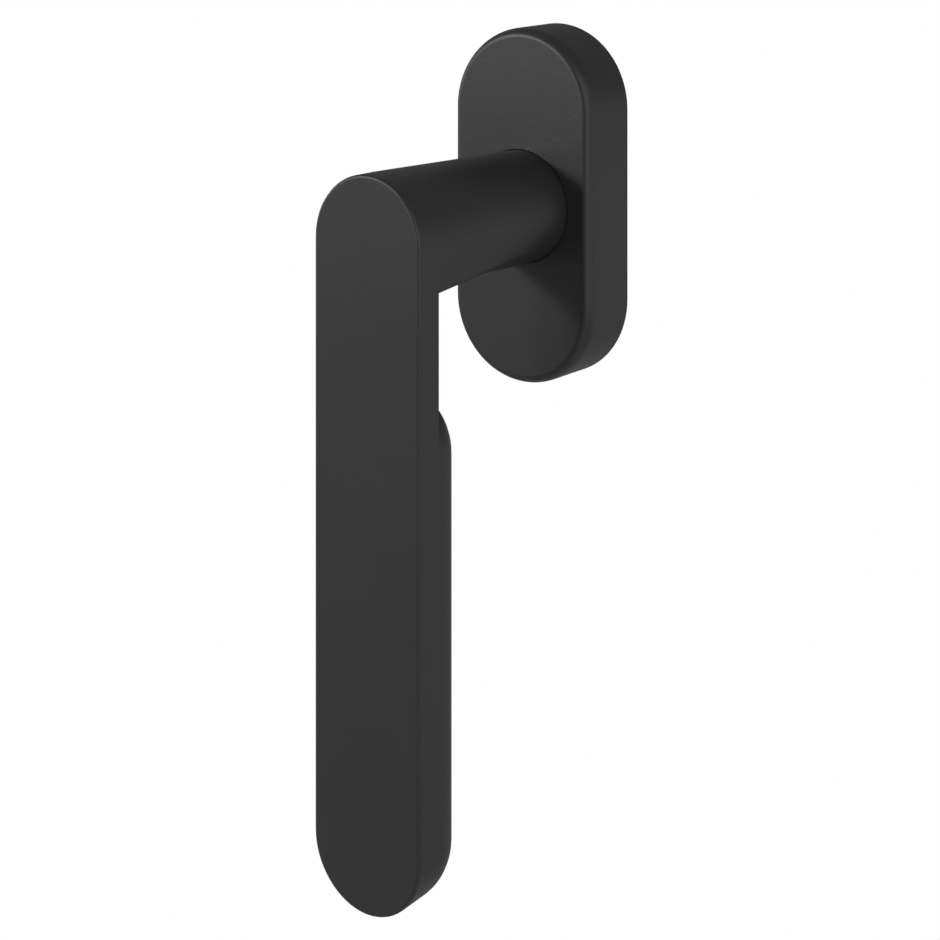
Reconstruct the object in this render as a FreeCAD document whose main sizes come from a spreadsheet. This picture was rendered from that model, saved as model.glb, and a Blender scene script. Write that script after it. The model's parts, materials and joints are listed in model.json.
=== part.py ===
import FreeCAD, Part
import math
import os

import Sketcher

# Tilt and turn window handle on an oval rose, in millimetres.
#
# The origin is on the spindle's axis, at the rose's mounting face.  +Y runs into the window sash, so
# the user stands on the -Y side; +X is to the user's right and +Z is up.  "Depth" below means the
# distance from the mounting face towards the user, which is -Y.  The lever hangs straight down.

DIMENSIONS = (
    # The rose, an oval cover over a cast base plate
    ("rose_height", 68.0),
    ("rose_width", 31.9),
    ("rose_depth", 13.1),
    ("rose_draft", 1.2),
    ("shoulder_round", 4.4),
    ("shoulder_cut", 1.6),
    ("face_round", 1.3),
    ("cover_wall", 1.5),
    ("cover_front_wall", 1.2),
    ("cover_inner_round", 1.8),
    ("cover_bore_gap", 0.1),
    # The lever: a flat bar with round ends, a thicker rounded grip behind it, and a neck
    ("lever_projection", 58.2),
    ("lever_width", 23.0),
    ("lever_reach", 102.4),
    ("bar_thickness", 5.35),
    ("bar_edge_round", 0.55),
    ("grip_thickness", 13.5),
    ("grip_round", 7.0),
    ("grip_drop", 36.6),
    ("neck_radius", 10.7),
    ("neck_straight", 4.7),
    ("neck_heel", 8.45),
    ("neck_heel_round", 0.8),
    ("neck_side_turn", 31.0),
    ("neck_heel_turn", 37.0),
    # The lever's journal and what holds it in the base plate's hub
    ("journal_radius", 7.0),
    ("journal_start", 11.0),
    ("journal_end", 4.85),
    ("journal_bevel", 0.25),
    ("ring_groove_near", 6.04),
    ("ring_groove_far", 5.18),
    ("ring_groove_radius", 6.4),
    ("running_gap", 0.05),
    ("seat_gap", 0.02),
    ("bush_radius", 8.0),
    ("bush_flange_radius", 10.4),
    ("bush_flange", 0.8),
    ("thrust_thickness", 0.48),
    ("wave_height", 0.3),
    ("wave_thickness", 0.2),
    ("washer_radius", 8.5),
    ("support_thickness", 0.3),
    ("ring_thickness", 0.8),
    ("ring_radius", 8.3),
    ("ring_mouth", 5.0),
    # The square spindle and the pin that locks it in the journal
    ("spindle_size", 7.0),
    ("spindle_fit", 0.04),
    ("spindle_bevel", 0.6),
    ("spindle_depth", 24.0),
    ("spindle_end_gap", 0.1),
    ("spindle_stand_out", 16.0),
    ("pin_radius", 1.5),
    ("pin_depth", 8.7),
    ("pin_length", 13.4),
    ("pin_bore", 0.8),
    ("pin_slot", 0.5),
    # The base plate
    ("plate_gap", 0.15),
    ("plate_thickness", 4.2),
    ("hub_radius", 13.2),
    ("hub_height", 10.5),
    ("hub_bevel", 0.5),
    ("web_depth", 6.9),
    ("chamber_side", 17.6),
    ("slot_length", 21.2),
    ("slot_width", 13.5),
    ("lug_radius", 5.0),
    ("lug_length", 8.0),
    ("screw_spacing", 43.0),
    ("screw_hole_radius", 2.7),
    ("countersink", 2.3),
    # The rear plate that closes the detent chamber, and its screws
    ("rear_width", 21.2),
    ("rear_height", 30.0),
    ("rear_thickness", 0.75),
    ("rear_recess", 0.8),
    ("rear_side_gap", 0.1),
    ("rear_bore_radius", 5.3),
    ("rear_screw_spacing", 25.8),
    ("rear_screw_radius", 1.0),
    ("rear_screw_head", 1.7),
    ("rear_screw_length", 4.0),
    ("rear_screw_point", 0.3),
    ("rear_screw_slot", 0.4),
    # The detent: a square cam between two leaf springs
    ("cam_side", 12.5),
    ("cam_round", 2.0),
    ("cam_near", 4.75),
    ("cam_far", 0.9),
    ("leaf_thickness", 0.4),
    ("leaf_length", 20.8),
    ("leaf_near", 4.5),
    ("leaf_far", 1.1),
    ("leaf_gap", 0.03),
    ("leaf_end_gap", 0.1),
    # The fixing screws, M5 countersunk
    ("screw_radius", 2.5),
    ("screw_shank_radius", 2.25),
    ("screw_head_radius", 4.65),
    ("screw_head_depth", 4.1),
    ("screw_head_edge", 0.2),
    ("screw_thread_start", 8.3),
    ("screw_end", 15.8),
    ("screw_point", 0.6),
    ("recess_length", 4.6),
    ("recess_width", 1.1),
    ("recess_depth", 1.8),
    # The cover's guide ring and the bowed springs that hold the cover by its side walls
    ("guide_gap", 0.07),
    ("guide_radius", 12.7),
    ("guide_thickness", 0.8),
    ("collar_radius", 13.6),
    ("collar_height", 1.1),
    ("collar_overlap", 0.2),
    ("clip_length", 16.0),
    ("clip_bow", 1.0),
    ("clip_thickness", 0.4),
    ("clip_near", 3.4),
    ("clip_far", 0.9),
    ("clip_pocket_length", 17.0),
    ("clip_pocket_depth", 1.5),
    ("clip_end_gap", 0.1),
)

doc = FreeCAD.newDocument("window_handle")
sheet = doc.addObject("Spreadsheet::Sheet", "Dims")
for row, (alias, size) in enumerate(DIMENSIONS, start=1):
    sheet.set(f"A{row}", alias)
    sheet.set(f"B{row}", str(size))
    sheet.setAlias(f"B{row}", alias)
gauge = doc.addObject("App::FeaturePython", "Gauge")
gauge.addProperty("App::PropertyFloat", "Reading")
doc.recompute()

# Names used in the expressions below
ARC_RISE = "(Dims.rose_height - Dims.rose_width) / 2"
PLATE_RADIUS = "Dims.rose_width / 2 - Dims.cover_wall - Dims.plate_gap"
CAVITY_RADIUS = "Dims.rose_width / 2 - Dims.cover_wall"
CEILING = "Dims.rose_depth - Dims.cover_front_wall"
BAR_BACK = "Dims.lever_projection - Dims.bar_thickness"
ROOT_FRONT = "Dims.rose_depth + Dims.neck_straight"
SQUARE_HOLE = "Dims.spindle_size + 2 * Dims.spindle_fit"
H_AXIS, V_AXIS, ORIGIN = -1, -2, (-1, 1)
START, END, CENTRE = 1, 2, 3
UPSIDE_DOWN = FreeCAD.Vector(0, 0, 1)
LEFT_TO_RIGHT = FreeCAD.Vector(1, 0, 0)
TOUCH = 1e-4


def value(expression):
    """The present value of an expression over the sheet's cells, read off the gauge bound to it."""
    gauge.setExpression("Reading", expression)
    gauge.recompute()
    return gauge.Reading


# ---------------------------------------------------------------- bodies, sketches and features


def new_body(label):
    body = doc.addObject("PartDesign::Body", label + "_body")
    body.Label = label
    return body


def new_sketch(body, role, depth="0"):
    """A sketch on one of the body's own planes.  On XZ, local x, y and z are X, Z and depth."""
    sketch = body.newObject("Sketcher::SketchObject", body.Label + "_sketch")
    plane = [item for item in body.Origin.OriginFeatures if item.Role == role][0]
    sketch.AttachmentSupport = [(plane, "")]
    sketch.MapMode = "FlatFace"
    sketch.setExpression("AttachmentOffset.Base.z", depth)
    return sketch


def constrain(sketch, kind, *arguments, size=None):
    """Add a constraint; with size, an expression, it is a dimension bound to the sheet."""
    if size is None:
        return sketch.addConstraint(Sketcher.Constraint(kind, *arguments))
    index = sketch.addConstraint(Sketcher.Constraint(kind, *arguments, value(size)))
    sketch.setExpression(f"Constraints[{index}]", size)
    return index


def place_point(sketch, geometry, point, x, y):
    """Fix a point of a sketch at two expressions; a zero puts it on the axis."""
    if value(x) == 0:
        constrain(sketch, "PointOnObject", geometry, point, V_AXIS)
    else:
        constrain(sketch, "DistanceX", *ORIGIN, geometry, point, size=x)
    if value(y) == 0:
        constrain(sketch, "PointOnObject", geometry, point, H_AXIS)
    else:
        constrain(sketch, "DistanceY", *ORIGIN, geometry, point, size=y)


def draw_polygon(sketch, corners):
    """A closed outline of straight lines through corners given as pairs of expressions."""
    spots = [FreeCAD.Vector(value(x), value(y), 0) for x, y in corners]
    first = sketch.GeometryCount
    count = len(corners)
    for index in range(count):
        sketch.addGeometry(Part.LineSegment(spots[index], spots[(index + 1) % count]))
    for index, (x, y) in enumerate(corners):
        following = first + (index + 1) % count
        constrain(sketch, "Coincident", first + index, END, following, START)
        place_point(sketch, first + index, START, x, y)


def draw_circle(sketch, radius, x="0", y="0"):
    middle = FreeCAD.Vector(value(x), value(y), 0)
    circle = sketch.addGeometry(Part.Circle(middle, FreeCAD.Vector(0, 0, 1), value(radius)))
    place_point(sketch, circle, CENTRE, x, y)
    constrain(sketch, "Radius", circle, size=radius)


def draw_rectangle(sketch, width, height, x="0", y="0"):
    left, right = f"({x}) - ({width}) / 2", f"({x}) + ({width}) / 2"
    low, high = f"({y}) - ({height}) / 2", f"({y}) + ({height}) / 2"
    draw_polygon(sketch, [(left, low), (right, low), (right, high), (left, high)])


def arc(x, y, radius, start, end):
    """An arc of a circle between two angles in degrees."""
    circle = Part.Circle(FreeCAD.Vector(x, y, 0), FreeCAD.Vector(0, 0, 1), radius)
    return Part.ArcOfCircle(circle, math.radians(start), math.radians(end))


def line(x0, y0, x1, y1):
    return Part.LineSegment(FreeCAD.Vector(x0, y0, 0), FreeCAD.Vector(x1, y1, 0))


def draw_stadium(sketch, radius, high, low):
    """Two half circles on the vertical axis, centred at high and low, joined by straight sides."""
    size, top, bottom = value(radius), value(high), value(low)
    upper = sketch.addGeometry(arc(0, top, size, 0, 180))
    left = sketch.addGeometry(line(-size, top, -size, bottom))
    lower = sketch.addGeometry(arc(0, bottom, size, 180, 360))
    right = sketch.addGeometry(line(size, bottom, size, top))
    constrain(sketch, "Tangent", upper, END, left, START)
    constrain(sketch, "Tangent", left, END, lower, START)
    constrain(sketch, "Tangent", lower, END, right, START)
    constrain(sketch, "Tangent", right, END, upper, START)
    place_point(sketch, upper, CENTRE, "0", high)
    place_point(sketch, lower, CENTRE, "0", low)
    constrain(sketch, "Radius", upper, size=radius)
    constrain(sketch, "Vertical", left)


def draw_arch(sketch, radius, heel, corner):
    """The neck's section at the bar: a half circle over straight sides and a flat heel."""
    wide, low, turn = value(radius), value(heel), value(corner)
    crown = sketch.addGeometry(arc(0, 0, wide, 0, 180))
    left = sketch.addGeometry(line(-wide, 0, -wide, turn - low))
    left_corner = sketch.addGeometry(arc(turn - wide, turn - low, turn, 180, 270))
    base = sketch.addGeometry(line(turn - wide, -low, wide - turn, -low))
    right_corner = sketch.addGeometry(arc(wide - turn, turn - low, turn, 270, 360))
    right = sketch.addGeometry(line(wide, turn - low, wide, 0))
    ring = (crown, left, left_corner, base, right_corner, right)
    for piece, following in zip(ring, ring[1:] + ring[:1]):
        constrain(sketch, "Tangent", piece, END, following, START)
    constrain(sketch, "Coincident", crown, CENTRE, *ORIGIN)
    constrain(sketch, "Radius", crown, size=radius)
    constrain(sketch, "Radius", left_corner, size=corner)
    constrain(sketch, "Radius", right_corner, size=corner)
    constrain(sketch, "Vertical", left)
    constrain(sketch, "Vertical", right)
    constrain(sketch, "Horizontal", base)
    constrain(sketch, "DistanceY", base, START, *ORIGIN, size=heel)


def draw_split_circle(sketch, radius, side_turn, heel_turn):
    """The neck's round section, cut into the same six pieces as the arch, for the loft between them."""
    size, side, heel = value(radius), value(side_turn), value(heel_turn)
    cuts = [0, 180, 180 + side, 180 + heel, 360 - heel, 360 - side, 360]
    pieces = []
    for first, last in zip(cuts, cuts[1:]):
        pieces.append(sketch.addGeometry(arc(0, 0, size, first, last)))
    for piece in pieces:
        constrain(sketch, "Coincident", piece, CENTRE, *ORIGIN)
    for piece, following in zip(pieces, pieces[1:]):
        constrain(sketch, "Coincident", piece, END, following, START)
    constrain(sketch, "Radius", pieces[0], size=radius)
    constrain(sketch, "PointOnObject", pieces[0], START, H_AXIS)
    constrain(sketch, "PointOnObject", pieces[0], END, H_AXIS)
    constrain(sketch, "PointOnObject", pieces[-1], END, H_AXIS)
    for piece, turn in zip(pieces[1:5], (side_turn, heel_turn, heel_turn, side_turn)):
        constrain(sketch, "DistanceY", *ORIGIN, piece, END, size=f"-({radius}) * sin({turn})")


def add_feature(body, kind, sketch, **expressions):
    """A sketch based feature, recomputed so that the next one can read its faces and edges."""
    feature = body.newObject("PartDesign::" + kind, body.Label + "_" + kind.lower())
    feature.Profile = sketch
    for name, expression in expressions.items():
        feature.setExpression(name, expression)
    body.Tip = feature
    return feature


def pad(body, sketch, length, **expressions):
    """Add material from the sketch towards the user."""
    return add_feature(body, "Pad", sketch, Length=length, **expressions)


def pad_back(body, sketch, length):
    """Add material from the sketch towards the sash."""
    feature = add_feature(body, "Pad", sketch, Length=length)
    feature.Reversed = True
    return feature


def cut_front(body, sketch, length):
    """Cut from the sketch towards the user."""
    before = volume_now(body)
    feature = add_feature(body, "Pocket", sketch, Length=length)
    feature.Reversed = True
    confirm_cut(body, before)
    return feature


def volume_now(body):
    doc.recompute()
    return body.Shape.Volume


def confirm_cut(body, before):
    if volume_now(body) > before - TOUCH:
        raise RuntimeError(f"a cut in {body.Label} removes nothing")


def revolve(body, corners, height="0"):
    """Turn an outline of (radius, depth) expressions about an axis along Y at this height."""
    sketch = new_sketch(body, "XY_Plane", height)
    draw_polygon(sketch, [(radius, f"-({depth})") for radius, depth in corners])
    feature = add_feature(body, "Revolution", sketch)
    feature.ReferenceAxis = (sketch, ["V_Axis"])
    feature.Angle = 360
    return feature


def edges_at(shape, depth, radius=None):
    """Names of the edges that lie wholly at one depth; with a radius, only circles of that size."""
    names = []
    for index, edge in enumerate(shape.Edges, start=1):
        box = edge.BoundBox
        level = abs(box.YMin + depth) < TOUCH and abs(box.YMax + depth) < TOUCH
        curve = edge.Curve
        fits = radius is None
        if not fits and curve.TypeId == "Part::GeomCircle":
            fits = abs(curve.Radius - radius) < TOUCH
        if level and fits:
            names.append(f"Edge{index}")
    return names


def dress(body, kind, names, size):
    """Fillet or chamfer named edges of the body as it stands."""
    feature = body.newObject("PartDesign::" + kind, body.Label + "_" + kind.lower())
    feature.Base = (feature.BaseFeature, names)
    feature.setExpression("Radius" if kind == "Fillet" else "Size", size)
    body.Tip = feature
    doc.recompute()
    return feature


def with_mirror(body, label, normal):
    """The body and a second piece, its mirror image across a plane through the origin."""
    mirror = doc.addObject("Part::Mirroring", label)
    mirror.Source = body
    mirror.Normal = normal
    mirror.Label = label
    return [body, mirror]


# ---------------------------------------------------------------- the lever and what turns with it


def make_lever():
    """Bar, grip, neck and journal in one casting."""
    body = new_body("lever")
    bar = new_sketch(body, "XZ_Plane", BAR_BACK)
    draw_stadium(bar, "Dims.lever_width / 2", "0", "-Dims.lever_reach")
    pad(body, bar, "Dims.bar_thickness")
    doc.recompute()
    front = edges_at(body.Shape, value("Dims.lever_projection"))
    dress(body, "Fillet", front, "Dims.bar_edge_round")

    grip = new_sketch(body, "XZ_Plane", BAR_BACK)
    draw_stadium(grip, "Dims.lever_width / 2", "-Dims.grip_drop", "-Dims.lever_reach")
    pad_back(body, grip, "Dims.grip_thickness - Dims.bar_thickness")
    doc.recompute()
    back = edges_at(body.Shape, value("Dims.lever_projection - Dims.grip_thickness"))
    dress(body, "Fillet", back, "Dims.grip_round")

    root = new_sketch(body, "XZ_Plane", ROOT_FRONT)
    draw_split_circle(root, "Dims.neck_radius", "Dims.neck_side_turn", "Dims.neck_heel_turn")
    arch = new_sketch(body, "XZ_Plane", BAR_BACK)
    draw_arch(arch, "Dims.lever_width / 2", "Dims.neck_heel", "Dims.neck_heel_round")
    neck = add_feature(body, "AdditiveLoft", root)
    neck.Sections = [arch]
    neck.Ruled = True

    groove_depth = ("Dims.ring_groove_near", "Dims.ring_groove_far")
    revolve(body, [
        ("0", ROOT_FRONT),
        ("Dims.neck_radius", ROOT_FRONT),
        ("Dims.neck_radius", "Dims.journal_start"),
        ("Dims.journal_radius", "Dims.journal_start"),
        ("Dims.journal_radius", groove_depth[0]),
        ("Dims.ring_groove_radius", groove_depth[0]),
        ("Dims.ring_groove_radius", groove_depth[1]),
        ("Dims.journal_radius", groove_depth[1]),
        ("Dims.journal_radius", "Dims.journal_end + Dims.journal_bevel"),
        ("Dims.journal_radius - Dims.journal_bevel", "Dims.journal_end"),
        ("0", "Dims.journal_end"),
    ])
    socket = new_sketch(body, "XZ_Plane", "Dims.journal_end")
    draw_rectangle(socket, SQUARE_HOLE, SQUARE_HOLE)
    cut_front(body, socket, "Dims.spindle_depth - Dims.journal_end")
    cut_across(body, "Dims.pin_radius")
    return body


def cut_across(body, radius):
    """A round hole along X through the body, at the depth of the locking pin."""
    hole = new_sketch(body, "YZ_Plane")
    draw_circle(hole, radius, "-Dims.pin_depth", "0")
    before = volume_now(body)
    feature = add_feature(body, "Pocket", hole, Length="2 * Dims.journal_radius")
    feature.Midplane = True
    confirm_cut(body, before)


def make_spindle():
    """Square bar, bevelled at both ends, with a cross hole for its pin."""
    body = new_body("spindle")
    sketch = new_sketch(body, "XZ_Plane", "-Dims.spindle_stand_out")
    draw_rectangle(sketch, "Dims.spindle_size", "Dims.spindle_size")
    pad(body, sketch, "Dims.spindle_stand_out + Dims.spindle_depth - Dims.spindle_end_gap")
    doc.recompute()
    ends = edges_at(body.Shape, value("-Dims.spindle_stand_out"))
    dress(body, "Chamfer", ends, "Dims.spindle_bevel")
    cut_across(body, "Dims.pin_radius")
    return body


def make_spindle_pin():
    """Slotted spring pin through the journal and the spindle, along X."""
    body = new_body("spindle_pin")
    sketch = new_sketch(body, "YZ_Plane")
    draw_circle(sketch, "Dims.pin_radius", "-Dims.pin_depth", "0")
    draw_circle(sketch, "Dims.pin_bore", "-Dims.pin_depth", "0")
    tube = pad(body, sketch, "Dims.pin_length")
    tube.Midplane = True
    slot = new_sketch(body, "YZ_Plane")
    draw_rectangle(slot, "Dims.pin_slot", "Dims.pin_radius * 1.5", "-Dims.pin_depth", "Dims.pin_radius")
    before = volume_now(body)
    cut = add_feature(body, "Pocket", slot, Length="2 * Dims.pin_length")
    cut.Midplane = True
    confirm_cut(body, before)
    return body


def make_detent_cam():
    """Square block with round corners, driven by the spindle."""
    body = new_body("detent_cam")
    sketch = new_sketch(body, "XZ_Plane", "Dims.cam_far")
    draw_rectangle(sketch, "Dims.cam_side", "Dims.cam_side")
    pad(body, sketch, "Dims.cam_near - Dims.cam_far")
    doc.recompute()
    half = value("Dims.cam_side / 2")
    corners = []
    for index, edge in enumerate(body.Shape.Edges, start=1):
        middle = edge.BoundBox.Center
        if abs(abs(middle.x) - half) < TOUCH and abs(abs(middle.z) - half) < TOUCH:
            corners.append(f"Edge{index}")
    dress(body, "Fillet", corners, "Dims.cam_round")
    hole = new_sketch(body, "XZ_Plane", "Dims.cam_far")
    draw_rectangle(hole, SQUARE_HOLE, SQUARE_HOLE)
    cut_front(body, hole, "Dims.cam_near - Dims.cam_far")
    return body


def make_retaining_ring():
    """Open spring ring in the journal's groove; its mouth faces down."""
    body = new_body("retaining_ring")
    near = "Dims.ring_groove_near - Dims.seat_gap"
    far = f"{near} - Dims.ring_thickness"
    inner = "Dims.ring_groove_radius + Dims.seat_gap"
    revolve(body, [(inner, near), ("Dims.ring_radius", near), ("Dims.ring_radius", far), (inner, far)])
    mouth = new_sketch(body, "XZ_Plane")
    draw_rectangle(mouth, "Dims.ring_mouth", "2 * Dims.ring_radius", "0", "-Dims.ring_radius")
    cut_front(body, mouth, "Dims.hub_height")
    return body


# ---------------------------------------------------------------- the bearing


def make_ring(label, inner, outer, near, far):
    """A flat ring about the spindle's axis between two depths."""
    body = new_body(label)
    revolve(body, [(inner, near), (outer, near), (outer, far), (inner, far)])
    return body


def make_bearing_bush():
    """Flanged bush pressed into the hub from the front."""
    body = new_body("bearing_bush")
    inner = "Dims.journal_radius + Dims.running_gap"
    flange_back = "Dims.hub_height - Dims.bush_flange"
    revolve(body, [
        (inner, "Dims.hub_height"),
        ("Dims.bush_flange_radius", "Dims.hub_height"),
        ("Dims.bush_flange_radius", flange_back),
        ("Dims.bush_radius", flange_back),
        ("Dims.bush_radius", "Dims.web_depth"),
        (inner, "Dims.web_depth"),
    ])
    return body


def make_wave_washer():
    """Ring bent in three waves, lofted along a sine around the axis."""
    inner = value("Dims.journal_radius + Dims.running_gap")
    outer = value("Dims.washer_radius")
    middle = value("Dims.web_depth - Dims.seat_gap - (Dims.wave_height + Dims.wave_thickness) / 2")
    swing = value("Dims.wave_height / 2")
    half = value("Dims.wave_thickness / 2")
    waves, steps = 3, 36
    rings = []
    for side in (half, -half):
        for radius in (inner, outer):
            points = []
            for step in range(steps):
                turn = FreeCAD.Rotation(FreeCAD.Vector(0, 1, 0), 360 * step / steps)
                lift = FreeCAD.Rotation(FreeCAD.Vector(0, 0, 1), 360 * waves * step / steps)
                wave = lift.multVec(FreeCAD.Vector(swing, 0, 0)).x
                points.append(turn.multVec(FreeCAD.Vector(radius, -(middle + wave + side), 0)))
            curve = Part.BSplineCurve()
            curve.interpolate(points, PeriodicFlag=True)
            rings.append(curve.toShape())
    near_in, near_out, far_in, far_out = rings
    faces = [
        Part.makeRuledSurface(near_in, near_out),
        Part.makeRuledSurface(near_out, far_out),
        Part.makeRuledSurface(far_out, far_in),
        Part.makeRuledSurface(far_in, near_in),
    ]
    shell = Part.Shell([face for surface in faces for face in surface.Faces])
    shell.sewShape()
    solid = Part.Solid(Part.Shell(shell.Faces))
    if solid.Volume < 0:
        solid.reverse()
    washer = doc.addObject("Part::Feature", "wave_washer")
    washer.Shape = solid
    washer.Placement = FreeCAD.Placement()
    washer.Label = "wave_washer"
    return washer


# ---------------------------------------------------------------- the base plate and what it holds


def draw_cross(sketch, length, width, height):
    """A plus sign centred at this height, for a screw's drive."""
    far, near = f"({length}) / 2", f"({width}) / 2"
    quarter = [(near, far), (near, near), (far, near)]
    corners = list(quarter)
    corners += [(x, f"-({y})") for x, y in reversed(quarter)]
    corners += [(f"-({x})", f"-({y})") for x, y in quarter]
    corners += [(f"-({x})", y) for x, y in reversed(quarter)]
    draw_polygon(sketch, [(x, f"({height}) + ({y})") for x, y in corners])


def draw_bow(sketch, crown, radius, thickness, length):
    """A strip bent to an arc that bulges along +X, with its crown at this distance from the axis."""
    size, thin, reach = value(radius), value(thickness), value(length) / 2
    centre = value(crown) - size
    arcs = []
    for ring in (size, size - thin):
        circle = Part.Circle(FreeCAD.Vector(centre, 0, 0), FreeCAD.Vector(0, 0, 1), ring)
        swing = circle.parameter(FreeCAD.Vector(centre + (ring * ring - reach * reach) ** 0.5, reach, 0))
        arcs.append(Part.ArcOfCircle(circle, -swing, swing))
    outer = sketch.addGeometry(arcs[0])
    inner = sketch.addGeometry(arcs[1])
    ends = []
    for point in (START, END):
        tip, root = sketch.getPoint(outer, point), sketch.getPoint(inner, point)
        end = sketch.addGeometry(Part.LineSegment(tip, root))
        constrain(sketch, "Coincident", outer, point, end, START)
        constrain(sketch, "Coincident", inner, point, end, END)
        ends.append(end)
    constrain(sketch, "Coincident", outer, CENTRE, inner, CENTRE)
    place_point(sketch, outer, CENTRE, f"({crown}) - ({radius})", "0")
    constrain(sketch, "Radius", outer, size=radius)
    constrain(sketch, "Radius", inner, size=f"({radius}) - ({thickness})")
    constrain(sketch, "DistanceY", *ORIGIN, outer, START, size=f"-({length}) / 2")
    constrain(sketch, "DistanceY", *ORIGIN, outer, END, size=f"({length}) / 2")
    for end in ends:
        constrain(sketch, "Horizontal", end)


def make_base_plate():
    """Cast oval plate with the bearing hub in front and two locating lugs behind."""
    body = new_body("base_plate")
    outline = new_sketch(body, "XZ_Plane")
    draw_stadium(outline, PLATE_RADIUS, ARC_RISE, f"-({ARC_RISE})")
    pad(body, outline, "Dims.plate_thickness")
    hub = new_sketch(body, "XZ_Plane")
    draw_circle(hub, "Dims.hub_radius")
    pad(body, hub, "Dims.hub_height")
    doc.recompute()
    dress(body, "Chamfer", edges_at(body.Shape, value("Dims.hub_height")), "Dims.hub_bevel")
    for height in ("Dims.screw_spacing / 2", "-Dims.screw_spacing / 2"):
        lug = new_sketch(body, "XZ_Plane")
        draw_circle(lug, "Dims.lug_radius", "0", height)
        pad_back(body, lug, "Dims.lug_length")
        hole = new_sketch(body, "XZ_Plane", "-Dims.lug_length")
        draw_circle(hole, "Dims.screw_hole_radius", "0", height)
        cut_front(body, hole, "Dims.lug_length + Dims.plate_thickness")
    mouths = edges_at(body.Shape, value("Dims.plate_thickness"), value("Dims.screw_hole_radius"))
    dress(body, "Chamfer", mouths, "Dims.countersink")

    recess = new_sketch(body, "XZ_Plane")
    side_gaps = "2 * Dims.rear_side_gap"
    draw_rectangle(recess, f"Dims.rear_width + {side_gaps}", f"Dims.rear_height + {side_gaps}")
    cut_front(body, recess, "Dims.rear_recess")
    chamber = new_sketch(body, "XZ_Plane")
    draw_rectangle(chamber, "Dims.chamber_side", "Dims.chamber_side")
    cut_front(body, chamber, "Dims.web_depth")
    slots = new_sketch(body, "XZ_Plane")
    draw_rectangle(slots, "Dims.slot_width", "Dims.slot_length")
    cut_front(body, slots, "Dims.leaf_near + Dims.leaf_end_gap")
    bore = new_sketch(body, "XZ_Plane")
    draw_circle(bore, "Dims.bush_radius + Dims.seat_gap")
    cut_front(body, bore, "Dims.hub_height")
    seat = new_sketch(body, "XZ_Plane", "Dims.hub_height - Dims.bush_flange - Dims.seat_gap")
    draw_circle(seat, "Dims.bush_flange_radius + Dims.seat_gap")
    cut_front(body, seat, "Dims.hub_height")
    for height in ("Dims.rear_screw_spacing / 2", "-Dims.rear_screw_spacing / 2"):
        hole = new_sketch(body, "XZ_Plane")
        draw_circle(hole, "Dims.rear_screw_radius + Dims.seat_gap", "0", height)
        cut_front(body, hole, "Dims.rear_screw_length + Dims.seat_gap")
    for side in ("", "-"):
        pocket = new_sketch(body, "XZ_Plane", "Dims.clip_far - Dims.clip_end_gap")
        middle = f"{side}({PLATE_RADIUS})"
        draw_rectangle(pocket, "2 * Dims.clip_pocket_depth", "Dims.clip_pocket_length", middle)
        cut_front(body, pocket, "Dims.clip_near - Dims.clip_far + 2 * Dims.clip_end_gap")
    return body


def make_rear_plate():
    """Thin plate let into the base plate's back, with a clearance hole for the spindle."""
    body = new_body("rear_plate")
    near = "Dims.rear_recess - Dims.rear_thickness"
    outline = new_sketch(body, "XZ_Plane", near)
    draw_rectangle(outline, "Dims.rear_width", "Dims.rear_height")
    pad(body, outline, "Dims.rear_thickness")
    bore = new_sketch(body, "XZ_Plane", near)
    draw_circle(bore, "Dims.rear_bore_radius")
    cut_front(body, bore, "Dims.rear_thickness")
    for height in ("Dims.rear_screw_spacing / 2", "-Dims.rear_screw_spacing / 2"):
        hole = new_sketch(body, "XZ_Plane", near)
        draw_circle(hole, "Dims.rear_screw_radius + Dims.seat_gap", "0", height)
        cut_front(body, hole, "Dims.rear_thickness")
    radius = value("Dims.rear_screw_radius + Dims.seat_gap")
    mouths = edges_at(body.Shape, value(near), radius)
    dress(body, "Chamfer", mouths, "Dims.rear_screw_head - Dims.rear_screw_radius")
    return body


def make_rear_plate_screws():
    """Two small countersunk screws, driven into the base plate from behind."""
    body = new_body("upper_rear_plate_screw")
    height = "Dims.rear_screw_spacing / 2"
    face = "Dims.rear_recess - Dims.rear_thickness + Dims.seat_gap"
    neck = f"{face} + Dims.rear_screw_head - Dims.rear_screw_radius"
    revolve(body, [
        ("0", face),
        ("Dims.rear_screw_head", face),
        ("Dims.rear_screw_radius", neck),
        ("Dims.rear_screw_radius", "Dims.rear_screw_length - Dims.rear_screw_point"),
        ("Dims.rear_screw_radius - Dims.rear_screw_point", "Dims.rear_screw_length"),
        ("0", "Dims.rear_screw_length"),
    ], height)
    slot = new_sketch(body, "XZ_Plane")
    draw_rectangle(slot, "2 * Dims.rear_screw_head", "Dims.rear_screw_slot", "0", height)
    cut_front(body, slot, "Dims.rear_screw_slot")
    return with_mirror(body, "lower_rear_plate_screw", UPSIDE_DOWN)


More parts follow.
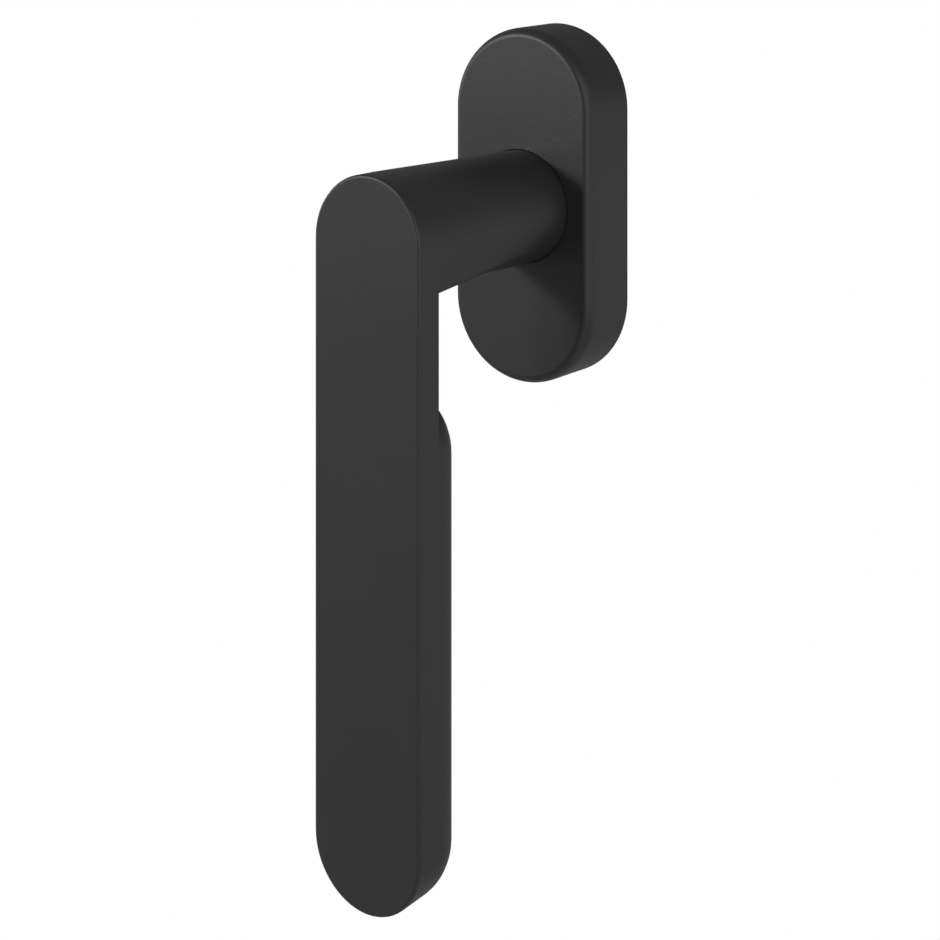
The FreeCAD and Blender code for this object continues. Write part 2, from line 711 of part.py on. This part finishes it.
def make_fixing_screws():
    """Two M5 countersunk screws; only the part behind the lugs has its thread's full width."""
    body = new_body("upper_fixing_screw")
    height = "Dims.screw_spacing / 2"
    edge = "Dims.screw_head_depth - Dims.screw_head_edge"
    revolve(body, [
        ("0", "Dims.screw_head_depth"),
        ("Dims.screw_head_radius", "Dims.screw_head_depth"),
        ("Dims.screw_head_radius", edge),
        ("Dims.screw_shank_radius", f"{edge} - Dims.screw_head_radius + Dims.screw_shank_radius"),
        ("Dims.screw_shank_radius", "-Dims.screw_thread_start"),
        ("Dims.screw_radius", "-Dims.screw_thread_start"),
        ("Dims.screw_radius", "-Dims.screw_end + Dims.screw_point"),
        ("Dims.screw_radius - Dims.screw_point", "-Dims.screw_end"),
        ("0", "-Dims.screw_end"),
    ], height)
    recess = new_sketch(body, "XZ_Plane", "Dims.screw_head_depth - Dims.recess_depth")
    draw_cross(recess, "Dims.recess_length", "Dims.recess_width", height)
    cut_front(body, recess, "Dims.recess_depth")
    return with_mirror(body, "lower_fixing_screw", UPSIDE_DOWN)


def make_detent_springs():
    """Two straight leaf springs, one on each side of the cam."""
    body = new_body("right_detent_spring")
    sketch = new_sketch(body, "XZ_Plane", "Dims.leaf_far")
    middle = "Dims.cam_side / 2 + Dims.leaf_gap + Dims.leaf_thickness / 2"
    draw_rectangle(sketch, "Dims.leaf_thickness", "Dims.leaf_length", middle)
    pad(body, sketch, "Dims.leaf_near - Dims.leaf_far")
    return with_mirror(body, "left_detent_spring", LEFT_TO_RIGHT)


def make_cover_springs():
    """Two bowed strips in the base plate's sides that grip the cover's side walls."""
    body = new_body("right_cover_spring")
    sketch = new_sketch(body, "XZ_Plane", "Dims.clip_far")
    radius = "(Dims.clip_length ^ 2 / 4 + Dims.clip_bow ^ 2) / (2 * Dims.clip_bow)"
    crown = f"{CAVITY_RADIUS} - Dims.seat_gap"
    draw_bow(sketch, crown, radius, "Dims.clip_thickness", "Dims.clip_length")
    pad(body, sketch, "Dims.clip_near - Dims.clip_far")
    return with_mirror(body, "left_cover_spring", LEFT_TO_RIGHT)


# ---------------------------------------------------------------- the cover


def make_rose_cover():
    """Oval shell, slightly tapered, with a bore for the neck.

    A large round leads from its sides to the front.  The front face cuts that round off before it
    turns level, and a small round softens the edge left there.
    """
    body = new_body("rose_cover")
    outline = new_sketch(body, "XZ_Plane")
    draw_stadium(outline, "Dims.rose_width / 2", ARC_RISE, f"-({ARC_RISE})")
    pad(body, outline, "Dims.rose_depth + Dims.shoulder_cut", TaperAngle="-Dims.rose_draft")
    doc.recompute()
    crown = edges_at(body.Shape, value("Dims.rose_depth + Dims.shoulder_cut"))
    dress(body, "Fillet", crown, "Dims.shoulder_round")
    face = new_sketch(body, "XZ_Plane", "Dims.rose_depth")
    draw_rectangle(face, "2 * Dims.rose_width", "2 * Dims.rose_height")
    cut_front(body, face, "2 * Dims.shoulder_cut")
    dress(body, "Fillet", edges_at(body.Shape, value("Dims.rose_depth")), "Dims.face_round")
    cavity = new_sketch(body, "XZ_Plane")
    draw_stadium(cavity, CAVITY_RADIUS, ARC_RISE, f"-({ARC_RISE})")
    cut_front(body, cavity, CEILING)
    dress(body, "Fillet", edges_at(body.Shape, value(CEILING)), "Dims.cover_inner_round")
    revolve(body, [
        ("Dims.guide_radius + Dims.seat_gap", f"{CEILING} + Dims.collar_overlap"),
        ("Dims.collar_radius", f"{CEILING} + Dims.collar_overlap"),
        ("Dims.collar_radius", f"{CEILING} - Dims.collar_height"),
        ("Dims.guide_radius + Dims.seat_gap", f"{CEILING} - Dims.collar_height"),
    ])
    bore = new_sketch(body, "XZ_Plane", f"{CEILING} - Dims.collar_height")
    draw_circle(bore, "Dims.neck_radius + Dims.cover_bore_gap")
    cut_front(body, bore, "Dims.rose_depth")
    return body


# ---------------------------------------------------------------- build, check and write

thrust_near = "Dims.journal_start - Dims.seat_gap"
support_near = "Dims.web_depth - Dims.wave_height - Dims.wave_thickness - 2 * Dims.seat_gap"
guide_near = f"{CEILING} - Dims.seat_gap"
journal_hole = "Dims.journal_radius + Dims.running_gap"

NODES = [
    make_lever(),
    make_spindle(),
    make_spindle_pin(),
    make_detent_cam(),
    make_retaining_ring(),
    make_ring("support_washer", journal_hole, "Dims.washer_radius", support_near,
              f"{support_near} - Dims.support_thickness"),
    make_wave_washer(),
    make_bearing_bush(),
    make_ring("thrust_washer", journal_hole, "Dims.bush_flange_radius", thrust_near,
              f"{thrust_near} - Dims.thrust_thickness"),
    make_base_plate(),
    *make_detent_springs(),
    make_rear_plate(),
    *make_rear_plate_screws(),
    *make_fixing_screws(),
    *make_cover_springs(),
    make_rose_cover(),
    make_ring("cover_guide_ring", "Dims.neck_radius + Dims.guide_gap", "Dims.guide_radius", guide_near,
              f"{guide_near} - Dims.guide_thickness"),
]
doc.recompute()

for item in doc.Objects:
    if "Invalid" in item.State or "Error" in item.State:
        raise RuntimeError(f"{item.Label} did not build: {item.State}")
for node in NODES:
    if node.Shape.isNull() or not node.Shape.isValid():
        raise RuntimeError(f"{node.Label} has no valid shape")

os.makedirs("parts", exist_ok=True)
for node in NODES:
    node.Shape.exportStep(f"parts/{node.Label}.step")
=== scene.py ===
import json
import math

import bmesh
import bpy
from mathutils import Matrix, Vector

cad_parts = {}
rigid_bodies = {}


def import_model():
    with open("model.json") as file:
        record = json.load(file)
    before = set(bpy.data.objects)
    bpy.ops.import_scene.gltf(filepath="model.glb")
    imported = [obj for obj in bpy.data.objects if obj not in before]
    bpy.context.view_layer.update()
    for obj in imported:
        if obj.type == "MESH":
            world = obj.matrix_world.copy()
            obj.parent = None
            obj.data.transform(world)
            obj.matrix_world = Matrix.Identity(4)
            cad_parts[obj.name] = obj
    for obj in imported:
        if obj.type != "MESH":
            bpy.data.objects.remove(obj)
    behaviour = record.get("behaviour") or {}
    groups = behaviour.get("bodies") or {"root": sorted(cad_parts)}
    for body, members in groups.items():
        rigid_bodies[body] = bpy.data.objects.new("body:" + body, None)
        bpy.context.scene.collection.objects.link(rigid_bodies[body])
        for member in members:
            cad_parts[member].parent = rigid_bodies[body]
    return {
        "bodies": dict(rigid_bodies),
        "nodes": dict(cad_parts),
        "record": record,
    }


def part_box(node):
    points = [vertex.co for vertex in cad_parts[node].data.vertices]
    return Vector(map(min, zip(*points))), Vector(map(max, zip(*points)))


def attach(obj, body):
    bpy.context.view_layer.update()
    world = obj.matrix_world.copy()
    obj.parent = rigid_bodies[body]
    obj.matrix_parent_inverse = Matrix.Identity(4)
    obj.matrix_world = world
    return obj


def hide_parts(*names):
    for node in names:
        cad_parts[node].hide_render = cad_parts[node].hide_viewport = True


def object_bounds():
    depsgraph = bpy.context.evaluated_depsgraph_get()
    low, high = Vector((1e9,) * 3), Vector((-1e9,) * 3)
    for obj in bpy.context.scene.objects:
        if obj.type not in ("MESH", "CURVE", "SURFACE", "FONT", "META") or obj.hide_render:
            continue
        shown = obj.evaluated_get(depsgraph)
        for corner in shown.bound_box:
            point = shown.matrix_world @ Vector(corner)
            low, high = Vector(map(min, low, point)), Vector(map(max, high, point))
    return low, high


# A tilt and turn window handle in matte black on an oval rose: finishes, threaded fixing screws,
# studio and camera.  Everything is in metres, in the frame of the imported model: -Y is towards the
# user, +X to the user's right and +Z up.

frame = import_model()
cad_low, cad_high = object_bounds()
cad_nodes = frame["nodes"]

MM = 0.001
MICRON = 1e-6

# Where a colour mix node has its two colour inputs and its colour output
MIX_FIRST, MIX_SECOND, MIX_RESULT = 6, 7, 2


# ---------------------------------------------------------------- finishes

BEVEL_SAMPLES = 4
NOISE_FADE = 0.55
PIT_CORE = 0.12
WEAR_PATCH = 2.5 * MM
WEAR_LIMIT = 0.75
WEAR_MIDDLE = 0.65
EDGE_MATCH_OPEN = 0.999
EDGE_MATCH_WORN = 0.90


class Finish:
    """A node material under construction: a Principled surface and the patterns that feed it."""

    def __init__(self, name, round_edges):
        self.material = bpy.data.materials.new(name)
        self.material.use_nodes = True
        self.tree = self.material.node_tree
        self.surface = self.tree.nodes["Principled BSDF"]
        self.place = self.add("ShaderNodeTexCoord").outputs["Object"]
        rounded = self.add("ShaderNodeBevel", {"Radius": round_edges}, samples=BEVEL_SAMPLES)
        self.normal = rounded.outputs["Normal"]
        facing = self.add("ShaderNodeNewGeometry").outputs["Normal"]
        match = self.add("ShaderNodeVectorMath", {0: self.normal, 1: facing}, operation="DOT_PRODUCT")
        self.edge_match = match.outputs["Value"]

    def add(self, kind, inputs=None, **settings):
        """Add a node; an input is a plain value, or another node's output to link."""
        item = self.tree.nodes.new(kind)
        for name, setting in settings.items():
            setattr(item, name, setting)
        for name, source in (inputs or {}).items():
            self.feed(item.inputs[name], source)
        return item

    def feed(self, socket, source):
        if isinstance(source, bpy.types.NodeSocket):
            self.tree.links.new(source, socket)
        else:
            socket.default_value = source

    def noise(self, size, detail=2.0, stretch=(1, 1, 1)):
        """Noise from 0 to 1 with features of about this size, longer along a stretched axis."""
        scale = tuple(1 / (size * along) for along in stretch)
        spread = self.add("ShaderNodeMapping", {"Vector": self.place, "Scale": scale})
        grain = self.add("ShaderNodeTexNoise", {
            "Vector": spread.outputs["Vector"],
            "Scale": 1.0,
            "Detail": detail,
            "Roughness": NOISE_FADE,
        })
        return grain.outputs["Fac"]

    def pits(self, size, depth):
        """Round pits from a cell pattern: 0 in a pit and 1 between them."""
        spread = self.add("ShaderNodeMapping", {"Vector": self.place, "Scale": (1 / size,) * 3})
        cells = self.add("ShaderNodeTexVoronoi", {"Vector": spread.outputs["Vector"], "Scale": 1.0})
        return self.span(cells.outputs["Distance"], 0.0, 1.0, start=PIT_CORE, end=PIT_CORE + depth)

    def span(self, source, low, high, start=0.0, end=1.0):
        """The source's range from start to end, spread from low to high."""
        item = self.add("ShaderNodeMapRange", {
            "Value": source,
            "From Min": start,
            "From Max": end,
            "To Min": low,
            "To Max": high,
        })
        return item.outputs["Result"]

    def product(self, first, second):
        item = self.add("ShaderNodeMath", {0: first, 1: second}, operation="MULTIPLY")
        return item.outputs["Value"]

    def mix(self, share, first, second):
        """A colour between two, each a colour or an output."""
        item = self.add("ShaderNodeMix", {"Factor": share}, data_type="RGBA")
        for index, colour in ((MIX_FIRST, first), (MIX_SECOND, second)):
            if not isinstance(colour, bpy.types.NodeSocket):
                colour = (*colour, 1.0)
            self.feed(item.inputs[index], colour)
        return item.outputs[MIX_RESULT]

    def wear(self, reach):
        """How worn a spot is: 0 on open faces, up to 1 on edges, broken up by noise. On the black coat
        it also places a painted highlight along the edges.
        """
        edges = self.span(self.edge_match, 0.0, 1.0, start=EDGE_MATCH_OPEN, end=EDGE_MATCH_WORN)
        patches = self.noise(WEAR_PATCH, detail=4.0)
        patchy = self.span(patches, 0.0, 1.0, start=WEAR_MIDDLE - reach, end=WEAR_LIMIT)
        return self.product(edges, patchy)

    def bump(self, height, depth):
        """Press a pattern into the surface, this deep from its lowest to its highest."""
        item = self.add("ShaderNodeBump", {
            "Strength": 1.0,
            "Distance": depth,
            "Height": height,
            "Normal": self.normal,
        })
        self.normal = item.outputs["Normal"]

    def finish(self, colour, roughness, metallic=0.0, **more):
        """Connect the patterns to the surface and hand back the material."""
        self.feed(self.surface.inputs["Base Color"], colour)
        self.feed(self.surface.inputs["Roughness"], roughness)
        self.feed(self.surface.inputs["Normal"], self.normal)
        self.surface.inputs["Metallic"].default_value = metallic
        for name, setting in more.items():
            self.surface.inputs[name.replace("_", " ")].default_value = setting
        return self.material


COAT_DARK = (0.0235, 0.0235, 0.0238)
COAT_LIGHT = (0.0265, 0.0265, 0.0267)
COAT_GRAIN = (0.030, 0.030, 0.0302)
# Edge colour of the coat: rubbed wear and a painted highlight along the edges
COAT_WEAR_AND_HIGHLIGHT = (0.050, 0.050, 0.050)
COAT_ROUGHNESS = 0.42
COAT_ROUGHNESS_SPREAD = 0.04
COAT_SHEEN = 0.5


def make_black_coat():
    """Matte black powder coat: a fine grain on a faint orange peel, with edges lighter from wear and
    from a painted highlight.
    """
    coat = Finish("black_coat", round_edges=0.25 * MM)
    peel = coat.noise(0.9 * MM, detail=1.0)
    grain = coat.noise(0.16 * MM, detail=2.0)
    film = coat.noise(14 * MM, detail=3.0)
    wear = coat.wear(reach=0.25)
    colour = coat.mix(coat.span(film, 0.0, 1.0, start=0.3, end=0.7), COAT_DARK, COAT_LIGHT)
    colour = coat.mix(coat.span(grain, 0.0, 0.35, start=0.35, end=0.65), colour, COAT_GRAIN)
    # Lighter edges: partly rubbed wear, partly a painted highlight along the edges
    colour = coat.mix(coat.span(wear, 0.0, 0.5), colour, COAT_WEAR_AND_HIGHLIGHT)
    coat.bump(peel, 16 * MICRON)
    coat.bump(grain, 6 * MICRON)
    roughness = coat.span(
        grain, COAT_ROUGHNESS - COAT_ROUGHNESS_SPREAD, COAT_ROUGHNESS + COAT_ROUGHNESS_SPREAD)
    return coat.finish(colour, roughness, Specular_IOR_Level=COAT_SHEEN)


def make_zinc_cast():
    """Tumbled zinc die casting: mottled grey with soft flow marks and a pebbled skin."""
    shade, bright = (0.30, 0.31, 0.32), (0.46, 0.47, 0.48)
    pebble, rubbed = (0.22, 0.22, 0.23), (0.62, 0.63, 0.64)
    zinc = Finish("zinc_cast", round_edges=0.3 * MM)
    skin = zinc.noise(0.7 * MM, detail=5.0)
    flow = zinc.noise(5 * MM, detail=4.0, stretch=(1, 1, 2.5))
    wear = zinc.wear(reach=0.4)
    colour = zinc.mix(zinc.span(flow, 0.0, 1.0, start=0.3, end=0.7), shade, bright)
    colour = zinc.mix(zinc.span(skin, 0.0, 0.5, start=0.5, end=0.75), colour, pebble)
    colour = zinc.mix(wear, colour, rubbed)
    zinc.bump(skin, 22 * MICRON)
    roughness = zinc.span(flow, 0.42, 0.6)
    return zinc.finish(colour, roughness, metallic=0.85)


def make_zinc_plate():
    """Bright zinc plating on steel: fine drawing lines under a faintly blue and yellow passivation."""
    bluish, yellowish = (0.58, 0.62, 0.68), (0.68, 0.66, 0.58)
    stain, rubbed = (0.40, 0.41, 0.43), (0.78, 0.79, 0.80)
    plate = Finish("zinc_plate", round_edges=0.15 * MM)
    lines = plate.noise(0.12 * MM, detail=2.0, stretch=(1, 14, 1))
    tint = plate.noise(6 * MM, detail=2.0)
    spots = plate.noise(0.9 * MM, detail=4.0)
    wear = plate.wear(reach=0.3)
    colour = plate.mix(plate.span(tint, 0.0, 1.0, start=0.35, end=0.65), bluish, yellowish)
    colour = plate.mix(plate.span(spots, 0.0, 0.6, start=0.55, end=0.75), colour, stain)
    colour = plate.mix(wear, colour, rubbed)
    plate.bump(lines, 3 * MICRON)
    plate.bump(spots, 4 * MICRON)
    roughness = plate.span(spots, 0.24, 0.42)
    return plate.finish(colour, roughness, metallic=1.0)


def make_spring_steel():
    """Oiled spring steel: dark, with rolling lines and brown and blue temper colours."""
    blue, brown, rubbed = (0.16, 0.17, 0.21), (0.24, 0.20, 0.17), (0.52, 0.52, 0.53)
    steel = Finish("spring_steel", round_edges=0.08 * MM)
    lines = steel.noise(0.08 * MM, detail=2.0, stretch=(1, 1, 18))
    temper = steel.noise(4 * MM, detail=2.0)
    wear = steel.wear(reach=0.3)
    colour = steel.mix(steel.span(temper, 0.0, 1.0, start=0.35, end=0.65), blue, brown)
    colour = steel.mix(wear, colour, rubbed)
    steel.bump(lines, 2.5 * MICRON)
    roughness = steel.span(lines, 0.25, 0.4)
    return steel.finish(colour, roughness, metallic=1.0)


def make_white_polymer():
    """Natural acetal: waxy off-white with faint turning marks and dirty greased patches."""
    clean, greasy, rubbed = (0.78, 0.77, 0.72), (0.55, 0.52, 0.44), (0.86, 0.85, 0.82)
    acetal = Finish("white_polymer", round_edges=0.12 * MM)
    marks = acetal.noise(0.1 * MM, detail=1.0, stretch=(8, 1, 8))
    grease = acetal.noise(2.5 * MM, detail=4.0)
    wear = acetal.wear(reach=0.3)
    colour = acetal.mix(acetal.span(grease, 0.0, 0.5, start=0.5, end=0.75), clean, greasy)
    colour = acetal.mix(wear, colour, rubbed)
    acetal.bump(marks, 3 * MICRON)
    roughness = acetal.span(grease, 0.5, 0.3)
    return acetal.finish(colour, roughness, Subsurface_Weight=0.25, Subsurface_Scale=1.0 * MM)


def make_black_polymer():
    """Moulded black polyamide with a fine spark-eroded grain, rubbed brighter on its edges."""
    dark, light, rubbed = (0.016, 0.016, 0.017), (0.026, 0.026, 0.027), (0.07, 0.07, 0.07)
    nylon = Finish("black_polymer", round_edges=0.12 * MM)
    grain = nylon.noise(0.12 * MM, detail=3.0)
    cloud = nylon.noise(4 * MM, detail=2.0)
    wear = nylon.wear(reach=0.3)
    colour = nylon.mix(cloud, dark, light)
    colour = nylon.mix(wear, colour, rubbed)
    nylon.bump(grain, 9 * MICRON)
    roughness = nylon.span(grain, 0.48, 0.68)
    return nylon.finish(colour, roughness)


def make_sintered_steel():
    """Pressed and sintered steel: dark grey, with fine open pores and burnished edges."""
    dark, light = (0.17, 0.17, 0.18), (0.27, 0.27, 0.27)
    pore, burnished = (0.05, 0.05, 0.05), (0.50, 0.50, 0.51)
    steel = Finish("sintered_steel", round_edges=0.15 * MM)
    pores = steel.pits(0.22 * MM, depth=0.3)
    cloud = steel.noise(2 * MM, detail=3.0)
    wear = steel.wear(reach=0.4)
    colour = steel.mix(cloud, dark, light)
    colour = steel.mix(pores, pore, colour)
    colour = steel.mix(wear, colour, burnished)
    steel.bump(pores, 16 * MICRON)
    roughness = steel.span(pores, 0.75, 0.4)
    return steel.finish(colour, roughness, metallic=0.9)


FINISHES = {
    "black_coat": make_black_coat(),
    "zinc_cast": make_zinc_cast(),
    "zinc_plate": make_zinc_plate(),
    "spring_steel": make_spring_steel(),
    "white_polymer": make_white_polymer(),
    "black_polymer": make_black_polymer(),
    "sintered_steel": make_sintered_steel(),
}


def slot_of(node):
    """The record's material slot of a node."""
    return {part["node"]: part["material_slot"] for part in frame["record"]["subparts"]}[node]


def dress_cad_nodes():
    """Give each node of the frame the finish of its material slot."""
    for node, piece in cad_nodes.items():
        for place in piece.material_slots:
            place.material = FINISHES[slot_of(node)]


# ---------------------------------------------------------------- fixing screws

SCREW_SIDES = 48
THREAD_RADIUS = 2.5 * MM
THREAD_DEPTH = 0.49 * MM
THREAD_PITCH = 0.8 * MM
THREAD_STEPS = 12
THREAD_RUN_IN = 1.0 * MM
THREAD_CREST, THREAD_FLANK = 0.125, 0.3125
ROOT_RADIUS = THREAD_RADIUS - THREAD_DEPTH
TIP_BEVEL = 0.2 * MM
TIP_RADIUS = ROOT_RADIUS - TIP_BEVEL
HEAD_BEVEL = 0.1 * MM
HEAD_EDGE = 0.2 * MM
RECESS_REACH = 2.25 * MM
RECESS_CORNER = math.radians(15)
RECESS_DEPTH = 2.1 * MM
RECESS_TAPER = 0.42
SHARP = math.radians(32)
TINY = 1e-9


def place_around(centre, angle, radius, depth):
    """A point about an axis along Y through the centre; depth is its own y."""
    return Vector((centre.x + radius * math.sin(angle), depth, centre.z + radius * math.cos(angle)))


def side_angle(side):
    return 2 * math.pi * side / SCREW_SIDES


def add_ring(mesh, centre, depth, outline):
    """A ring of vertices; the outline gives the radius at each angle."""
    angles = [side_angle(side) for side in range(SCREW_SIDES)]
    return [mesh.verts.new(place_around(centre, angle, outline(angle), depth)) for angle in angles]


def join_rings(mesh, first, second):
    for index in range(SCREW_SIDES):
        after = (index + 1) % SCREW_SIDES
        mesh.faces.new((first[index], first[after], second[after], second[index]))


def circle(radius):
    """An outline that has the same radius all around."""
    return lambda angle: radius


def cross(reach):
    """The outline of a plus sign, for the screw's drive."""
    half_width = reach * math.tan(RECESS_CORNER)

    def outline(angle):
        across, along = abs(math.sin(angle)), abs(math.cos(angle))
        longer, shorter = max(across, along), min(across, along)
        return min(reach / longer, half_width / max(shorter, TINY))

    return outline


def thread_cut(turns):
    """How deep a 60 degree thread is cut this many turns along it, from 0 on its crest to 1."""
    share = turns % 1.0
    into = (share - THREAD_CREST) / THREAD_FLANK
    out_of = (1.0 - share) / THREAD_FLANK
    return max(0.0, min(1.0, into, out_of))


def add_thread(mesh, centre, start, end):
    """A helical strip from start to end, closed where its last column meets its first a turn on."""
    rows = (math.ceil((end - start) / THREAD_PITCH) + 2) * THREAD_STEPS

    def spot(row, side):
        angle = side_angle(side)
        turns = row / THREAD_STEPS + side / SCREW_SIDES - 1.0
        depth = min(max(start + turns * THREAD_PITCH, start), end)
        cut = THREAD_RADIUS - THREAD_DEPTH * thread_cut(row / THREAD_STEPS)
        run_in = ROOT_RADIUS + THREAD_DEPTH * (depth - start) / THREAD_RUN_IN
        bevel = TIP_RADIUS + end - depth
        return place_around(centre, angle, min(cut, run_in, bevel), depth)

    grid = [[mesh.verts.new(spot(row, side)) for side in range(SCREW_SIDES)] for row in range(rows)]
    for row in range(rows - THREAD_STEPS - 1):
        for side in range(SCREW_SIDES - 1):
            near, far = grid[row][side:side + 2], grid[row + 1][side:side + 2]
            mesh.faces.new((near[0], near[1], far[1], far[0]))
        seam = row + THREAD_STEPS
        mesh.faces.new((grid[row][-1], grid[seam][0], grid[seam + 1][0], grid[row + 1][-1]))


def make_fixing_screw(name, node):
    """A countersunk M5 screw with a tapered cross recess and a real thread, in place of its node."""
    low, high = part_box(node)
    centre = (low + high) / 2
    head = (high.x - low.x) / 2
    face, tip = low.y, high.y
    cone_end = face + HEAD_EDGE + head - ROOT_RADIUS
    mesh = bmesh.new()
    rings = [
        add_ring(mesh, centre, face + RECESS_DEPTH, cross(RECESS_REACH * RECESS_TAPER)),
        add_ring(mesh, centre, face + HEAD_BEVEL, cross(RECESS_REACH - HEAD_BEVEL)),
        add_ring(mesh, centre, face, cross(RECESS_REACH)),
        add_ring(mesh, centre, face, circle(head - HEAD_BEVEL)),
        add_ring(mesh, centre, face + HEAD_BEVEL, circle(head)),
        add_ring(mesh, centre, face + HEAD_EDGE, circle(head)),
        add_ring(mesh, centre, cone_end, circle(ROOT_RADIUS)),
    ]
    for first, second in zip(rings, rings[1:]):
        join_rings(mesh, first, second)
    mesh.faces.new(rings[0])
    add_thread(mesh, centre, cone_end, tip)
    mesh.faces.new(add_ring(mesh, centre, tip, circle(TIP_RADIUS)))
    bmesh.ops.remove_doubles(mesh, verts=mesh.verts, dist=MICRON)
    bmesh.ops.recalc_face_normals(mesh, faces=mesh.faces)
    return add_piece(name, mesh, "rose", node)


def add_piece(name, mesh, body, node):
    """Turn a built mesh into a piece that rides on a body in place of a node."""
    shape = bpy.data.meshes.new(name)
    mesh.to_mesh(shape)
    mesh.free()
    shape.shade_smooth()
    shape.set_sharp_from_angle(angle=SHARP)
    piece = bpy.data.objects.new(name, shape)
    bpy.context.scene.collection.objects.link(piece)
    slot = slot_of(node)
    shape.materials.append(FINISHES[slot])
    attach(piece, body)
    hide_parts(node)
    return piece


# ---------------------------------------------------------------- studio

FLOOR_DROP = 1.1
FLOOR_REACH = 30.0
FLOOR_FILL = 0.296
ROOM_FILL = 0.186
LAMP_DISTANCE = 1.2
WHITE = (1.0, 1.0, 1.0, 1.0)


def make_floor():
    """A wide white floor far below, which glows and so lights the handle softly from below."""
    middle = (cad_low + cad_high) / 2
    level = cad_low.z - FLOOR_DROP
    corners = [
        (middle.x + side * FLOOR_REACH, middle.y + front * FLOOR_REACH, level)
        for side, front in ((-1, -1), (1, -1), (1, 1), (-1, 1))
    ]
    shape = bpy.data.meshes.new("floor")
    shape.from_pydata(corners, [], [(0, 1, 2, 3)])
    shape.materials.append(make_backdrop_white())
    floor = bpy.data.objects.new("floor", shape)
    bpy.context.scene.collection.objects.link(floor)


def set_glow(tree, glow, fill):
    """Make a node glow full white to the camera's eye, and only this much where it lights things."""
    path = tree.nodes.new("ShaderNodeLightPath")
    level = tree.nodes.new("ShaderNodeMapRange")
    level.inputs["To Min"].default_value = fill
    level.inputs["To Max"].default_value = 1.0
    tree.links.new(path.outputs["Is Camera Ray"], level.inputs["Value"])
    tree.links.new(level.outputs["Result"], glow.inputs["Strength"])
    glow.inputs["Color"].default_value = WHITE


def make_backdrop_white():
    """Glowing white paper."""
    material = bpy.data.materials.new("backdrop_white")
    material.use_nodes = True
    tree = material.node_tree
    tree.nodes.clear()
    glow = tree.nodes.new("ShaderNodeEmission")
    set_glow(tree, glow, FLOOR_FILL)
    output = tree.nodes.new("ShaderNodeOutputMaterial")
    tree.links.new(glow.outputs["Emission"], output.inputs["Surface"])
    return material


def make_world():
    """White surroundings, and a dim even fill for the handle."""
    world = bpy.data.worlds.new("studio")
    bpy.context.scene.world = world
    world.use_nodes = True
    set_glow(world.node_tree, world.node_tree.nodes["Background"], ROOM_FILL)


def add_softbox(name, azimuth, elevation, size, power):
    """A square lamp aimed at the handle, its power in watts; azimuth 0 is in front, 90 to the right."""
    light = bpy.data.lights.new(name, "AREA")
    light.size = size
    light.energy = power
    box = bpy.data.objects.new(name, light)
    bpy.context.scene.collection.objects.link(box)
    turn, rise = math.radians(azimuth), math.radians(elevation)
    away = Vector((math.sin(turn) * math.cos(rise), -math.cos(turn) * math.cos(rise), math.sin(rise)))
    box.location = (cad_low + cad_high) / 2 + away * LAMP_DISTANCE
    box.rotation_euler = away.to_track_quat("Z", "Y").to_euler()
    box.visible_camera = False


def light_studio():
    """Three small lamps at the front left, and wide soft ones at the sides."""
    add_softbox("key", azimuth=330, elevation=14.5, size=0.12, power=2.55)
    add_softbox("key_left", azimuth=314, elevation=24, size=0.12, power=2.95)
    add_softbox("key_right", azimuth=340, elevation=12, size=0.12, power=0.8)
    add_softbox("left_fill", azimuth=285, elevation=5, size=0.5, power=1.9)
    add_softbox("right_fill", azimuth=70, elevation=15, size=1.2, power=5.4)
    add_softbox("right_rear", azimuth=125, elevation=-5, size=0.8, power=0.62)
    add_softbox("right_low", azimuth=60, elevation=-40, size=0.8, power=0.35)


# ---------------------------------------------------------------- camera

# The camera's turn is about Z, in radians, and its lens and sensor are in millimetres.  The lens
# shifts are shares of the picture's width: across, down, and down when the lever points up.
CAMERA_PLACE = Vector((0.2023, -0.29897, 0.05774))
CAMERA_TURN = 0.58655
CAMERA_LENS = 70.679
CAMERA_SENSOR = 36.0
SHIFT_ACROSS = -0.1103
SHIFT_DOWN = -0.6045
SHIFT_LEVER_UP = -0.078
PLACE_TOLERANCE = 0.0001


def make_camera():
    """A level camera with its lens shifted down, so that upright edges stay upright."""
    lens = bpy.data.cameras.new("camera")
    lens.sensor_width = CAMERA_SENSOR
    lens.lens = CAMERA_LENS
    lens.clip_start = 0.01
    lens.clip_end = 100.0
    camera = bpy.data.objects.new("camera", lens)
    bpy.context.scene.collection.objects.link(camera)
    camera.location = CAMERA_PLACE
    camera.rotation_euler = (math.radians(90), 0.0, CAMERA_TURN)
    bpy.context.scene.camera = camera
    rise = SHIFT_LEVER_UP - SHIFT_DOWN
    drive_shift(camera, "shift_x", str(SHIFT_ACROSS))
    drive_shift(camera, "shift_y", f"({SHIFT_DOWN} + ({rise}) * (1 - cos(turn)) / 2)")


def drive_shift(camera, axis, amount):
    """Shift the lens while the camera stands at its own place, and not once it is moved elsewhere.

    The amount is an expression; "turn" in it is the lever's angle, so the lens can follow the lever.
    """
    driver = camera.data.driver_add(axis).driver
    height = driver.variables.new()
    height.name = "height"
    height.targets[0].id = camera
    height.targets[0].data_path = "location[2]"
    turn = driver.variables.new()
    turn.name = "turn"
    turn.type = "ROTATION_DIFF"
    turn.targets[0].id = frame["bodies"]["rose"]
    turn.targets[1].id = frame["bodies"]["handle"]
    at_its_place = f"abs(height - {CAMERA_PLACE.z:.5f}) < {PLACE_TOLERANCE}"
    driver.expression = f"{amount} if {at_its_place} else 0.0"


dress_cad_nodes()
make_fixing_screw("upper_threaded_screw", "upper_fixing_screw")
make_fixing_screw("lower_threaded_screw", "lower_fixing_screw")
make_floor()
make_world()
light_studio()
make_camera()
bpy.context.scene.view_settings.view_transform = "Standard"
